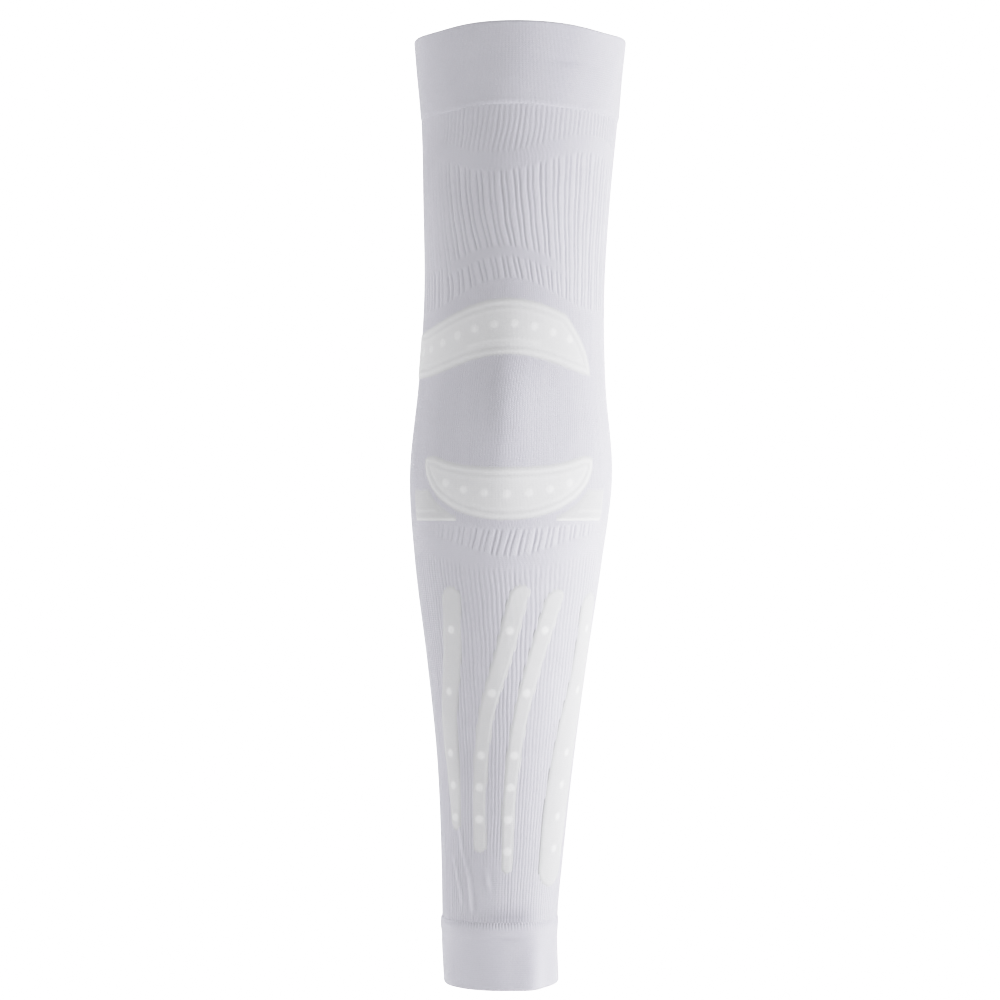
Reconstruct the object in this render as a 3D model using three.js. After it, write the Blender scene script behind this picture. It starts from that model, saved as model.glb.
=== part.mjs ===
// Arm compression sleeve in its worn form: a circular-knit tube with a plain cuff at each end, ribbed bands
// above and below the elbow, two raised bands that frame the elbow, and four strips down the forearm.
// Millimetres, +Z up. The origin is the centre of the upper cuff's mouth, the wrist end hangs below it and
// the point of the elbow faces -Y. Angles run round the arm in degrees from the front, positive towards +X.
import * as THREE from "three";

// Lengths along the arm
const SLEEVE_LENGTH = 414;
const UPPER_CUFF_HEIGHT = 34;
const LOWER_CUFF_HEIGHT = 30;

// Walls and layers
const KNIT_WALL = 1.8;
const CUFF_WALL = 2.3;
const CUFF_PROUD = 0.3;
const LAYER_THICKNESS = 1.0;
const GAP = 0.3;

// The arm that fills the sleeve, one row for each section from the mouth down
const ARM_SECTIONS = [
  { z: 0, halfWidth: 46.4, halfDepth: 46.4, centreX: 0, centreY: 0 },
  { z: -34, halfWidth: 43.3, halfDepth: 43.8, centreX: -0.2, centreY: -0.4 },
  { z: -70, halfWidth: 41.1, halfDepth: 42.2, centreX: -1.5, centreY: -1 },
  { z: -114, halfWidth: 39.6, halfDepth: 41.5, centreX: -2.6, centreY: -2.5 },
  { z: -150, halfWidth: 41, halfDepth: 42.3, centreX: -3.5, centreY: -4 },
  { z: -192, halfWidth: 44.4, halfDepth: 43, centreX: -4, centreY: -4.5 },
  { z: -228, halfWidth: 41.1, halfDepth: 40.5, centreX: -5.1, centreY: -3 },
  { z: -272, halfWidth: 35.2, halfDepth: 34.8, centreX: -5.7, centreY: -0.5 },
  { z: -316, halfWidth: 30.1, halfDepth: 29.3, centreX: -6.4, centreY: 1.5 },
  { z: -360, halfWidth: 26.8, halfDepth: 25.2, centreX: -7.9, centreY: 3 },
  { z: -384, halfWidth: 25.5, halfDepth: 23.6, centreX: -8.8, centreY: 3.5 },
  { z: -414, halfWidth: 25.1, halfDepth: 23.1, centreX: -8.4, centreY: 4 },
];

// The point of the elbow and the bone at the wrist push the knit out in low round swellings
const SWELLINGS = [
  { angle: -6, z: -166, height: 5, spanAngle: 19, spanZ: 27 },
  { angle: 31, z: -406, height: 2.6, spanAngle: 15, spanZ: 21 },
];

// Knitting: the ribs repeat over five wales, a rib of two beside a rib of three
const REPEATS = 48;
const WALES_IN_REPEAT = 5;
const RIB_WALES = [
  { wale: 0, valley: true },
  { wale: 1, valley: false },
  { wale: 2, valley: true },
  { wale: 3.5, valley: false },
];
const RIB_DEPTH = 0.7;
const RIB_RUN_IN = 1.6;
const RIB_MIDDLES = [0.35, 0.65];

// Edges of the ribbed bands
const WAVE = { z: -57, height: 4.7, waves: 3, lowest: -13 };
const PLAIN_STRIP = 6.5;
const UPPER_RIBS_FOOT = { centre: -8, crown: -94.5, drop: 10.3, reach: 60 };
const PLAIN_ARC = 3.5;
const PLAIN_ARC_END = { from: 30, to: 48 };
const ARCH_RIBS_FOOT = { centre: -4, crown: -108, drop: 12.5, reach: 60 };
const LOWER_RIBS_TOP = { centre: 0, crown: -213.4, drop: -2, reach: 50 };
const LOWER_RIBS_FOOT = { centre: 0, crown: -225.8, drop: -9, reach: 55 };
const LOWER_RIBS_END = 82.5;

// The tube is knitted in three zones, which meet in plain courses at these heights
const UPPER_ARM_FOOT = -125;
const ELBOW_FOOT = -233;
const ELBOW_ROWS_FOOT = -206;

// How far the ribs lean sideways down a band, and where round the arm they lean most
const UPPER_LEAN = { turn: 9, angle: -25, reach: 75 };
const LOWER_LEAN = { turn: -3.6, angle: 0, reach: 90 };

// Support bands round the elbow
const UPPER_BAND = {
  top: { centre: -4, crown: -115.4, drop: 12.7, reach: 75 },
  foot: { centre: -3, crown: -139.2, drop: 11, reach: 65 },
  leftEnd: { top: -97, foot: -90 },
  rightEnd: { top: 34, foot: 55 },
  endBow: 2.4,
};
const LOWER_BAND = {
  centre: -2.5,
  reach: 55,
  horns: -184,
  depth: 25.4,
  brim: { z: -189, rise: 6.7, reach: 45, power: 2.5 },
  shoulder: { turn: 5, drop: 3.4 },
};
const HORN_TURN = 86;
const WING = { from: 29, to: 68, top: -196.5, foot: -211.2, clearance: 1.2 };

// Forearm strips, one row for each place from the top of a strip to its tip
const STRIPS = {
  forearm_strip_1: [
    { z: -238, angle: -38, width: 9 },
    { z: -268, angle: -42, width: 9.5 },
    { z: -300, angle: -51, width: 9.5 },
    { z: -325, angle: -49, width: 7 },
    { z: -345, angle: -47, width: 4 },
  ],
  forearm_strip_2: [
    { z: -237, angle: 8.5, width: 8 },
    { z: -268, angle: -3, width: 7.5 },
    { z: -295, angle: -16, width: 6.3 },
    { z: -325, angle: -22, width: 5.6 },
    { z: -354, angle: -21.5, width: 5.2 },
  ],
  forearm_strip_3: [
    { z: -239, angle: 32.5, width: 8.6 },
    { z: -268, angle: 20.5, width: 7 },
    { z: -300, angle: 9, width: 5.8 },
    { z: -330, angle: 4, width: 5.1 },
    { z: -363, angle: 4, width: 3.8 },
  ],
  forearm_strip_4: [
    { z: -241, angle: 65, width: 13 },
    { z: -275, angle: 66.5, width: 15.5 },
    { z: -300, angle: 61, width: 17.5 },
    { z: -330, angle: 56, width: 18 },
    { z: -370, angle: 53, width: 14 },
  ],
};
const STRIP_END_SHARE = 0.3;

// Fineness of the mesh, and the plain drum that a cuff is turned on before it is fitted to the arm
const CUFF_COLUMNS = 48;
const DRUM_RADIUS = 100;
const RIM_STEPS = [-60, 0, 60];
const ELBOW_ROWS = 8;
const FOREARM_ROWS = 12;
const INNER_ROWS = { upperArm: 3, elbow: 4, forearm: 5 };
const BAND_GRID = { columns: 24, rows: 6 };
const WING_GRID = { columns: 8, rows: 2 };
const STRIP_GRID = { columns: 4, rows: 20 };

const KNIT = { color: 0xdedde6, roughness: 0.9, metalness: 0 };
const WELT = { color: 0xe0dfe7, roughness: 0.85, metalness: 0 };
const RAISED = { color: 0xe9e9e6, roughness: 0.8, metalness: 0 };

const { lerp, smoothstep, degToRad, radToDeg, euclideanModulo } = THREE.MathUtils;

// Smooth curves through the rows of a table, read at a height
function tableCurve(rows, columns) {
  const rising = [...rows].sort((a, b) => a.z - b.z);
  const values = rising.flatMap((row) => columns.map((column) => row[column]));
  const curve = new THREE.CubicInterpolant(
    rising.map((row) => row.z),
    values,
    columns.length,
  );
  return (z) => [...curve.evaluate(z)];
}

const armSection = tableCurve(ARM_SECTIONS, ["halfWidth", "halfDepth", "centreX", "centreY"]);

// An angle as a turn of -180 to 180 degrees from another
const turnFrom = (angle, centre) => euclideanModulo(angle - centre + 180, 360) - 180;

function swellingAt(angle, z) {
  return SWELLINGS.reduce((sum, swelling) => {
    const across = turnFrom(angle, swelling.angle) / swelling.spanAngle;
    const along = (z - swelling.z) / swelling.spanZ;
    return sum + swelling.height * Math.exp(-across * across - along * along);
  }, 0);
}

// A point at an angle and height, a distance out from the surface of the knit
function surfacePoint(angle, z, out) {
  const [halfWidth, halfDepth, centreX, centreY] = armSection(z);
  const reach = out + swellingAt(angle, z);
  const turn = degToRad(angle);
  return new THREE.Vector3(
    centreX + (halfWidth + reach) * Math.sin(turn),
    centreY - (halfDepth + reach) * Math.cos(turn),
    z,
  );
}

// The height of an arched edge, which falls by its drop from its crown to its reach and then runs level
function archEdge({ centre, crown, drop, reach }, angle) {
  const turn = Math.min(Math.abs(turnFrom(angle, centre)) / reach, 1);
  return crown - drop * Math.sin((turn * Math.PI) / 2) ** 2;
}

function waveEdge(angle) {
  return WAVE.z - WAVE.height * Math.cos(degToRad(WAVE.waves * (angle - WAVE.lowest)));
}

// How much of a band's lean reaches an angle
function leanShare({ angle: middle, reach }, angle) {
  const turn = Math.min(Math.abs(turnFrom(angle, middle)) / reach, 1);
  return Math.cos((turn * Math.PI) / 2) ** 2;
}

function mesh(name, geometry, finish) {
  const made = new THREE.Mesh(geometry, new THREE.MeshStandardMaterial(finish));
  made.name = name;
  return made;
}

// Moves each vertex of a geometry to the point that place gives for it
function bend(geometry, place) {
  const position = geometry.getAttribute("position");
  const vertex = new THREE.Vector3();
  for (let i = 0; i < position.count; i += 1) {
    const { x, y, z } = place(vertex.fromBufferAttribute(position, i));
    position.setXYZ(i, x, y, z);
  }
  geometry.computeVertexNormals();
  return geometry;
}

// A cuff is a double welt with a rounded rim at each edge: a closed profile turned on the drum, then fitted
function cuff(name, top, foot) {
  const rimRadius = CUFF_WALL / 2;
  const middle = DRUM_RADIUS + CUFF_PROUD - rimRadius;
  const rim = (height, towards) =>
    RIM_STEPS.map((step) => {
      const turn = degToRad(step);
      const inset = height - towards * rimRadius;
      return new THREE.Vector2(
        middle + towards * rimRadius * Math.sin(turn),
        inset + towards * rimRadius * Math.cos(turn),
      );
    });
  const profile = [...rim(foot, -1), ...rim(top, 1)];
  profile.push(profile[0].clone());
  const drum = new THREE.LatheGeometry(profile.reverse(), CUFF_COLUMNS);
  const fitted = bend(drum, ({ x, y, z }) => {
    const angle = radToDeg(Math.atan2(x, z));
    return surfacePoint(angle, y, Math.hypot(x, z) - DRUM_RADIUS);
  });
  return mesh(name, fitted, WELT);
}

// Columns of the knit round the arm: one for each repeat where it is plain, four where it is ribbed
const REPEAT_ANGLE = 360 / REPEATS;
const PLAIN_COLUMNS = Array.from({ length: REPEATS }, (_, repeat) => ({
  angle: repeat * REPEAT_ANGLE,
  valley: false,
}));
const RIB_COLUMNS = PLAIN_COLUMNS.flatMap(({ angle }) =>
  RIB_WALES.map(({ wale, valley }) => ({
    angle: angle + (wale / WALES_IN_REPEAT) * REPEAT_ANGLE,
    valley,
  })),
);
const isInFront = ({ angle }) => Math.abs(turnFrom(angle, 0)) <= LOWER_RIBS_END;
const FRONT_RIB_COLUMNS = RIB_COLUMNS.filter(isInFront)
  .concat(PLAIN_COLUMNS.filter((column) => !isInFront(column)))
  .sort((a, b) => a.angle - b.angle);

function plainLoop(heightAt, out) {
  return PLAIN_COLUMNS.map(({ angle }) => ({
    angle,
    point: surfacePoint(angle, heightAt(angle), out),
  }));
}

// Loops down a ribbed band. The valleys run in from its top edge and out at its foot, where the depths that
// are left at the two edges are given as shares of the full depth.
function ribLoops({ columns, top, foot, turnAt, topShare, footShare }, middles) {
  const loop = (depthShare, heightAt, share) =>
    columns.map(({ angle, valley }) => {
      const turned = angle + turnAt(angle, share);
      const depth = valley ? RIB_DEPTH * depthShare(turned) : 0;
      return { angle, point: surfacePoint(turned, heightAt(turned), -depth) };
    });
  const full = () => 1;
  return [
    loop(topShare, top, 0),
    loop(full, (angle) => top(angle) - RIB_RUN_IN, 0),
    ...middles.map((share) => loop(full, (angle) => lerp(top(angle), foot(angle), share), share)),
    loop(full, (angle) => foot(angle) + RIB_RUN_IN, 1),
    loop(footShare, foot, 1),
  ];
}

// Joins a ring of loops, each to the next and the last to the first, into one closed skin. Two neighbours
// may have different numbers of columns: the seam always steps to the nearer next column.
function closedSkin(loops) {
  const positions = loops.flatMap((loop) => loop.flatMap(({ point }) => point.toArray()));
  const starts = [];
  let count = 0;
  for (const loop of loops) {
    starts.push(count);
    count += loop.length;
  }
  const index = [];
  loops.forEach((upper, k) => {
    const next = (k + 1) % loops.length;
    const lower = loops[next];
    const angleOf = (loop, i) => (i < loop.length ? loop[i].angle : 360);
    const upperAt = (i) => starts[k] + (i % upper.length);
    const lowerAt = (i) => starts[next] + (i % lower.length);
    let i = 0;
    let j = 0;
    while (i < upper.length || j < lower.length) {
      const stepsUpper = j === lower.length || angleOf(upper, i + 1) <= angleOf(lower, j + 1);
      if (i < upper.length && stepsUpper) {
        index.push(upperAt(i), lowerAt(j), upperAt(i + 1));
        i += 1;
      } else {
        index.push(upperAt(i), lowerAt(j), lowerAt(j + 1));
        j += 1;
      }
    }
  });
  const skin = new THREE.BufferGeometry();
  skin.setAttribute("position", new THREE.Float32BufferAttribute(positions, 3));
  skin.setIndex(index);
  skin.computeVertexNormals();
  return skin;
}

// Evenly spaced heights from one to another, both included
function steps(from, to, rows) {
  return Array.from({ length: rows + 1 }, (_, i) => lerp(from, to, i / rows));
}

// A zone of the tube: its loops down the outside, then a plain inner wall back up
function knitZone(name, top, foot, loops, innerRows) {
  const edge = (z) => plainLoop(() => z, 0);
  const inner = (z) => plainLoop(() => z, -KNIT_WALL);
  const wall = steps(foot, top, innerRows).map(inner);
  return mesh(name, closedSkin([edge(top), ...loops, edge(foot), ...wall]), KNIT);
}

function knitZones() {
  const none = () => 0;
  const runsOn = (angle) => {
    const turn = Math.abs(turnFrom(angle, UPPER_RIBS_FOOT.centre));
    return smoothstep(turn, PLAIN_ARC_END.from, PLAIN_ARC_END.to);
  };
  const upperTurn = (angle, share) => UPPER_LEAN.turn * share ** 2 * leanShare(UPPER_LEAN, angle);
  const upperRibs = {
    columns: RIB_COLUMNS,
    top: waveEdge,
    foot: (angle) => archEdge(UPPER_RIBS_FOOT, angle),
    turnAt: upperTurn,
    topShare: none,
    footShare: runsOn,
  };
  const archRibs = {
    columns: RIB_COLUMNS,
    top: (angle) => archEdge(UPPER_RIBS_FOOT, angle) - PLAIN_ARC,
    foot: (angle) => archEdge(ARCH_RIBS_FOOT, angle),
    turnAt: (angle) => upperTurn(angle, 1),
    topShare: runsOn,
    footShare: none,
  };
  const lowerRibs = {
    columns: FRONT_RIB_COLUMNS,
    top: (angle) => archEdge(LOWER_RIBS_TOP, angle),
    foot: (angle) => archEdge(LOWER_RIBS_FOOT, angle),
    turnAt: (angle, share) => LOWER_LEAN.turn * share * leanShare(LOWER_LEAN, angle),
    topShare: none,
    footShare: none,
  };
  const upperArmTop = -UPPER_CUFF_HEIGHT - GAP;
  const upperArmLoops = [
    plainLoop((angle) => waveEdge(angle) + PLAIN_STRIP, 0),
    ...ribLoops(upperRibs, RIB_MIDDLES),
    ...ribLoops(archRibs, []),
  ];
  const elbowTop = UPPER_ARM_FOOT - GAP;
  const elbowLoops = [
    ...steps(elbowTop, ELBOW_ROWS_FOOT, ELBOW_ROWS).slice(1).map((z) => plainLoop(() => z, 0)),
    ...ribLoops(lowerRibs, []),
  ];
  const forearmTop = ELBOW_FOOT - GAP;
  const forearmFoot = -SLEEVE_LENGTH + LOWER_CUFF_HEIGHT + GAP;
  const forearmLoops = steps(forearmTop, forearmFoot, FOREARM_ROWS)
    .slice(1, -1)
    .map((z) => plainLoop(() => z, 0));
  return [
    knitZone("upper_arm_knit", upperArmTop, UPPER_ARM_FOOT, upperArmLoops, INNER_ROWS.upperArm),
    knitZone("elbow_knit", elbowTop, ELBOW_FOOT, elbowLoops, INNER_ROWS.elbow),
    knitZone("forearm_knit", forearmTop, forearmFoot, forearmLoops, INNER_ROWS.forearm),
  ];
}

// A raised layer on the knit: a box whose width and height follow the angle and height that place gives for
// its shares of the way across and up
function raisedLayer(name, { columns, rows }, place) {
  const box = new THREE.BoxGeometry(1, 1, 1, columns, rows, 1);
  const laid = bend(box, ({ x, y, z }) => {
    const { angle, height } = place(x + 0.5, y + 0.5);
    return surfacePoint(angle, height, GAP + (z + 0.5) * LAYER_THICKNESS);
  });
  return mesh(name, laid, RAISED);
}

function upperElbowBand() {
  const { top, foot, leftEnd, rightEnd, endBow } = UPPER_BAND;
  return raisedLayer("upper_elbow_band", BAND_GRID, (across, up) => {
    const left = lerp(leftEnd.foot, leftEnd.top, up ** endBow);
    const right = lerp(rightEnd.foot, rightEnd.top, up ** endBow);
    const angle = lerp(left, right, across);
    return { angle, height: lerp(archEdge(foot, angle), archEdge(top, angle), up) };
  });
}

// The lower band is a boat: half an oval hull under a brim that rises to two rounded horns
function hullHeight(turn) {
  return LOWER_BAND.horns - LOWER_BAND.depth * Math.sqrt(1 - (turn / LOWER_BAND.reach) ** 2);
}

function brimHeight(turn) {
  const { reach, brim, shoulder } = LOWER_BAND;
  const rise = brim.rise * Math.min(Math.abs(turn) / brim.reach, 1) ** brim.power;
  const past = Math.max(Math.abs(turn) - reach + shoulder.turn, 0) / shoulder.turn;
  return brim.z + rise - shoulder.drop * (1 - Math.sqrt(1 - past ** 2));
}

function lowerElbowBand() {
  return raisedLayer("lower_elbow_band", BAND_GRID, (across, up) => {
    const turn = LOWER_BAND.reach * Math.sin(degToRad(lerp(-HORN_TURN, HORN_TURN, across)));
    return { angle: LOWER_BAND.centre + turn, height: lerp(hullHeight(turn), brimHeight(turn), up) };
  });
}

// A wing fills the corner between the hull and a straight base
function elbowWing(name, side) {
  return raisedLayer(name, WING_GRID, (across, up) => {
    const share = side > 0 ? across : 1 - across;
    const turn = lerp(WING.from, WING.to, share);
    const underHull = hullHeight(Math.min(turn, LOWER_BAND.reach)) - WING.clearance;
    const top = Math.min(WING.top, underHull);
    return { angle: LOWER_BAND.centre + side * turn, height: lerp(WING.foot, top, up) };
  });
}

// A strip tapers along its table and is rounded off at both ends
function forearmStrip(name, rows) {
  const curve = tableCurve(rows, ["angle", "width"]);
  const top = rows[0].z;
  const tip = rows[rows.length - 1].z;
  return raisedLayer(name, STRIP_GRID, (across, up) => {
    const height = lerp(tip, top, 0.5 - 0.5 * Math.cos(Math.PI * up));
    const [angle, width] = curve(height);
    const fromEnd = Math.min(top - height, height - tip) / (width / 2);
    const round = fromEnd < 1 ? Math.sqrt(1 - (1 - fromEnd) ** 2) : 1;
    const halfWidth = (width / 2) * Math.max(round, STRIP_END_SHARE);
    const mmPerDegree = degToRad(armSection(height)[0]);
    const halfTurn = halfWidth / mmPerDegree;
    return { angle: angle + lerp(-halfTurn, halfTurn, across), height };
  });
}

const sleeve = new THREE.Group();
sleeve.add(
  cuff("upper_cuff", 0, -UPPER_CUFF_HEIGHT),
  ...knitZones(),
  cuff("lower_cuff", -SLEEVE_LENGTH + LOWER_CUFF_HEIGHT, -SLEEVE_LENGTH),
  upperElbowBand(),
  lowerElbowBand(),
  elbowWing("elbow_wing_left", -1),
  elbowWing("elbow_wing_right", 1),
  ...Object.entries(STRIPS).map(([name, rows]) => forearmStrip(name, rows)),
);

export default sleeve;
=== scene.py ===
import math

import bmesh
import bpy
import numpy as np
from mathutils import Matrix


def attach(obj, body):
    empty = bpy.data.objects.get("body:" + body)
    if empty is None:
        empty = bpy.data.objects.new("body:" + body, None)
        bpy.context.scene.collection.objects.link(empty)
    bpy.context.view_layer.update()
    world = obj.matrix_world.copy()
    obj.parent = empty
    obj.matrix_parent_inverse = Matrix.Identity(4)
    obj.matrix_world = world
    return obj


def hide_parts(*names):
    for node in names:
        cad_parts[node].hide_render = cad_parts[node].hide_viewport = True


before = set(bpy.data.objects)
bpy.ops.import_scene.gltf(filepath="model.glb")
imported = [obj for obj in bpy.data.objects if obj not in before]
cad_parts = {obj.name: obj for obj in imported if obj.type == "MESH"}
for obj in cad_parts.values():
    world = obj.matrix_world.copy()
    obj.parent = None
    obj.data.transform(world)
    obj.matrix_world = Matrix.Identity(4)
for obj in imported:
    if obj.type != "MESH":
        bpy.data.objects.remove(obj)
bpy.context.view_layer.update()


# Upper cuff
# A double welt of plain jersey in nylon and elastane, knitted first and turned in at the mouth. It keeps the
# form of the arm that fills it, and a purl course stands up as a bead where the ribs begin.
MM = 0.001
ARM = np.array([  # height, half width, half depth, middle across, middle front to back, in millimetres
    (-414, 25.1, 23.1, -8.4, 4.0),
    (-384, 25.5, 23.6, -8.8, 3.5),
    (-360, 26.8, 25.2, -7.9, 3.0),
    (-316, 30.1, 29.3, -6.4, 1.5),
    (-272, 35.2, 34.8, -5.7, -0.5),
    (-228, 41.1, 40.5, -5.1, -3.0),
    (-192, 44.4, 43.0, -4.0, -4.5),
    (-150, 41.0, 42.3, -3.5, -4.0),
    (-114, 39.6, 41.5, -2.6, -2.5),
    (-70, 41.1, 42.2, -1.5, -1.0),
    (-34, 43.3, 43.8, -0.2, -0.4),
    (0, 46.4, 46.4, 0.0, 0.0),
])
ELBOW_POINT = {"angle": -6, "height": -166, "rise": 5.0, "round": 19, "along": 27}
WRIST_BONE = {"angle": 31, "height": -406, "rise": 2.6, "round": 15, "along": 21}
WALES = 240
COURSE = 0.85
MEETING = 0.002 * MM


def curve_through(places, values):
    """A smooth curve through the rows of a table, whose places rise."""
    slopes = np.gradient(values, places)

    def at(place):
        place = np.clip(place, places[0], places[-1])
        row = np.clip(np.searchsorted(places, place) - 1, 0, len(places) - 2)
        step = places[row + 1] - places[row]
        t = (place - places[row]) / step
        start = (1 + 2 * t) * (1 - t) ** 2 * values[row] + t * (1 - t) ** 2 * step * slopes[row]
        end = t * t * (3 - 2 * t) * values[row + 1] + t * t * (t - 1) * step * slopes[row + 1]
        return start + end

    return at


half_width, half_depth, middle_x, middle_y = (curve_through(ARM[:, 0], ARM[:, k]) for k in range(1, 5))


def turn_from(angle, centre):
    """An angle as a turn of -180 to 180 degrees from another."""
    return (angle - centre + 180) % 360 - 180


def soft_step(value, start, end):
    t = np.clip((value - start) / (end - start), 0, 1)
    return t * t * (3 - 2 * t)


def hump(value, middle, reach):
    return np.exp(-((value - middle) / reach) ** 2)


def ripple(waves, turn, height):
    """Small waves that repeat round the arm, from the size, the number and the run down the arm of each."""
    return sum(size * np.sin(number * turn + height / run) for size, number, run in waves)


def arch(edge, angle):
    """The height of an arched edge, which falls by its drop from crown to reach, and then runs level."""
    turn = np.clip(np.abs(turn_from(angle, edge["centre"])) / edge["reach"], 0, 1)
    return edge["crown"] - edge["drop"] * np.sin(turn * math.pi / 2) ** 2


def on_arm(angle, height, out):
    """The point at an angle from the front and a height, a distance out from the knit, in metres."""
    for form in (ELBOW_POINT, WRIST_BONE):
        share = hump(turn_from(angle, form["angle"]), 0, form["round"])
        out = out + form["rise"] * share * hump(height, form["height"], form["along"])
    turn = np.radians(angle)
    x = middle_x(height) + (half_width(height) + out) * np.sin(turn)
    y = middle_y(height) - (half_depth(height) + out) * np.cos(turn)
    return np.stack([x, y, height], axis=-1) * MM


def knit_cloth(name, columns, rows, lay):
    """A cloth on the arm, from a flat grid of columns and rows whose edges are joined where they meet.

    lay takes the shares of the way across and along, and gives each place's angle, height, distance out, wale
    and course, and its share of the shade colour, which holds its tone and its painted shade.
    """
    bm = bmesh.new()
    bmesh.ops.create_grid(bm, x_segments=columns, y_segments=rows, size=0.5)
    mesh = bpy.data.meshes.new(name)
    bm.to_mesh(mesh)
    laid = lay(np.linspace(0, 1, columns + 1)[None, :], np.linspace(0, 1, rows + 1)[:, None])
    laid = {key: np.broadcast_to(value, (rows + 1, columns + 1)).ravel() for key, value in laid.items()}
    mesh.vertices.foreach_set("co", on_arm(laid["angle"], laid["height"], laid["out"]).ravel())
    corners = np.empty(len(mesh.loops), dtype=np.int32)
    mesh.loops.foreach_get("vertex_index", corners)
    stitches = np.stack([laid["wale"], laid["course"]], axis=1)[corners]
    mesh.uv_layers.new(name="stitches").data.foreach_set("uv", stitches.ravel())
    mesh.attributes.new("sunk", "FLOAT", "POINT").data.foreach_set("value", laid["sunk"])
    bm.clear()
    bm.from_mesh(mesh)
    bmesh.ops.remove_doubles(bm, verts=[v for v in bm.verts if v.is_boundary], dist=MEETING)
    if not any(edge.is_boundary for edge in bm.edges):
        bmesh.ops.recalc_face_normals(bm, faces=bm.faces)
    bm.to_mesh(mesh)
    bm.free()
    mesh.shade_smooth()
    cloth = bpy.data.objects.new(name, mesh)
    bpy.context.collection.objects.link(cloth)
    return cloth


class Yarn:
    """A value in a material's nodes, with the arithmetic of Math nodes."""

    def __init__(self, tree, socket=None):
        self.tree = tree
        self.socket = socket

    def node(self, kind, settings=None, sockets=None, output=0):
        made = self.tree.nodes.new(kind)
        for key, value in (settings or {}).items():
            setattr(made, key, value)
        for key, value in (sockets or {}).items():
            if isinstance(value, Yarn):
                self.tree.links.new(value.socket, made.inputs[key])
            else:
                made.inputs[key].default_value = value
        return Yarn(self.tree, made.outputs[output])

    def math(self, operation, *values):
        return self.node("ShaderNodeMath", {"operation": operation}, dict(enumerate(values)))

    def feed(self, shader, socket):
        self.tree.links.new(self.socket, shader.inputs[socket])

    def __add__(self, other):
        return self.math("ADD", self, other)

    def __sub__(self, other):
        return self.math("SUBTRACT", self, other)

    def __rsub__(self, other):
        return self.math("SUBTRACT", other, self)

    def __mul__(self, other):
        return self.math("MULTIPLY", self, other)

    def __pow__(self, other):
        return self.math("POWER", self, other)

    def __abs__(self):
        return self.math("ABSOLUTE", self)

    __radd__ = __add__
    __rmul__ = __mul__


STITCH = {"slant": 1.3, "shade": 0.2}
DYE = {"scale": 38.0, "detail": 2.0, "shade": 0.22}
FUZZ = {"scale": 1400.0, "detail": 2.0, "shade": 0.2, "relief": 0.5}
ROUGHNESS = {"yarn": 0.86, "sunk": 0.08, "fuzz": 0.12}


def knit_finish(name, colour, shade, stitch_height):
    """Matt knitted yarn: V stitches by wale and course, painted shade where the cloth sinks in, and uneven
    dye.
    """
    material = bpy.data.materials.new(name)
    material.use_nodes = True
    shader = material.node_tree.nodes["Principled BSDF"]
    shader.inputs["Diffuse Roughness"].default_value = 1.0
    shader.inputs["Sheen Weight"].default_value = 0.03
    shader.inputs["Sheen Roughness"].default_value = 0.5
    shader.inputs["Specular IOR Level"].default_value = 0.25
    yarn = Yarn(material.node_tree)
    stitches = yarn.node("ShaderNodeUVMap", {"uv_map": "stitches"})
    wale = yarn.node("ShaderNodeSeparateXYZ", None, {0: stitches}, "X")
    course = yarn.node("ShaderNodeSeparateXYZ", None, {0: stitches}, "Y")
    # The two legs of a stitch lie a quarter of a wale to each side of its middle, and slant up from there.
    beside = abs(yarn.math("FRACT", wale) - 0.5)
    leg = 1 - (abs(beside - 0.25) * 4) ** 2
    loop = yarn.math("COSINE", (course + beside * STITCH["slant"]) * math.tau) * 0.5 + 0.5
    relief = leg * (loop * 0.5 + 0.5)
    place = yarn.node("ShaderNodeTexCoord", None, None, "Object")
    dye, fuzz = (
        yarn.node("ShaderNodeTexNoise", None,
                  {"Vector": place, "Scale": noise["scale"], "Detail": noise["detail"]}, "Fac")
        for noise in (DYE, FUZZ))
    sunk = yarn.node("ShaderNodeAttribute", {"attribute_name": "sunk"}, None, "Fac")
    # Painted shade: sunk paints valleys, creases and layer edges darker, and the gaps between stitch legs
    # too.
    dark = sunk + (1 - relief) * STITCH["shade"]
    dark = dark + (0.5 - dye) * DYE["shade"] + (0.5 - fuzz) * FUZZ["shade"]
    mixed = yarn.node(
        "ShaderNodeMix", {"data_type": "RGBA"},
        {"Factor": dark, "A": (*colour, 1), "B": (*shade, 1)}, "Result")
    mixed.feed(shader, "Base Color")
    roughness = ROUGHNESS["yarn"] + sunk * ROUGHNESS["sunk"] + (fuzz - 0.5) * ROUGHNESS["fuzz"]
    roughness.feed(shader, "Roughness")
    relief = relief + (fuzz - 0.5) * FUZZ["relief"]
    bump = yarn.node("ShaderNodeBump", None, {"Height": relief, "Distance": stitch_height})
    bump.feed(shader, "Normal")
    return material


CUFF_WALL = 2.3
CUFF_PROUD = 0.3
OUTER_FACE = {"from": 1.2, "whole": 0.4}
MOUTH_ROLL = 1.15
SEAM_ROLL = 0.9
ROLL_POINTS = 13
UPPER_CUFF_FOOT = -34.6
MOUTH_DIP = {"angle": 52, "round": 22, "depth": 1.3, "along": 14}
MOUTH_RISE = {"angle": -15, "round": 45, "rise": 0.95}
SEAM_HANG = {"centre": -5, "crown": 0, "drop": 2.0, "reach": 60}
SEAM_HANG_FROM = -12
SEAM = {"drop": 0.42, "reach": 3.0}
BEAD = {"height": -33.2, "reach": 1.4, "rise": 0.25, "loops": 0.25, "from": 38, "to": 62}
UPPER_CREASE = {"angle": 25, "round": 12, "height": -16.5, "along": 1.4, "depth": 0.15}
CREASE_SHADE = 0.6
SLACK = [(0.12, 5, 6), (0.08, 11, -9)]
CUFF_COLUMNS = 2 * WALES
CUFF_SHADE = 0.16
WHITE_YARN = (0.87, 0.865, 0.91)
WHITE_YARN_SHADE = (0.58, 0.575, 0.63)


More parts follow.
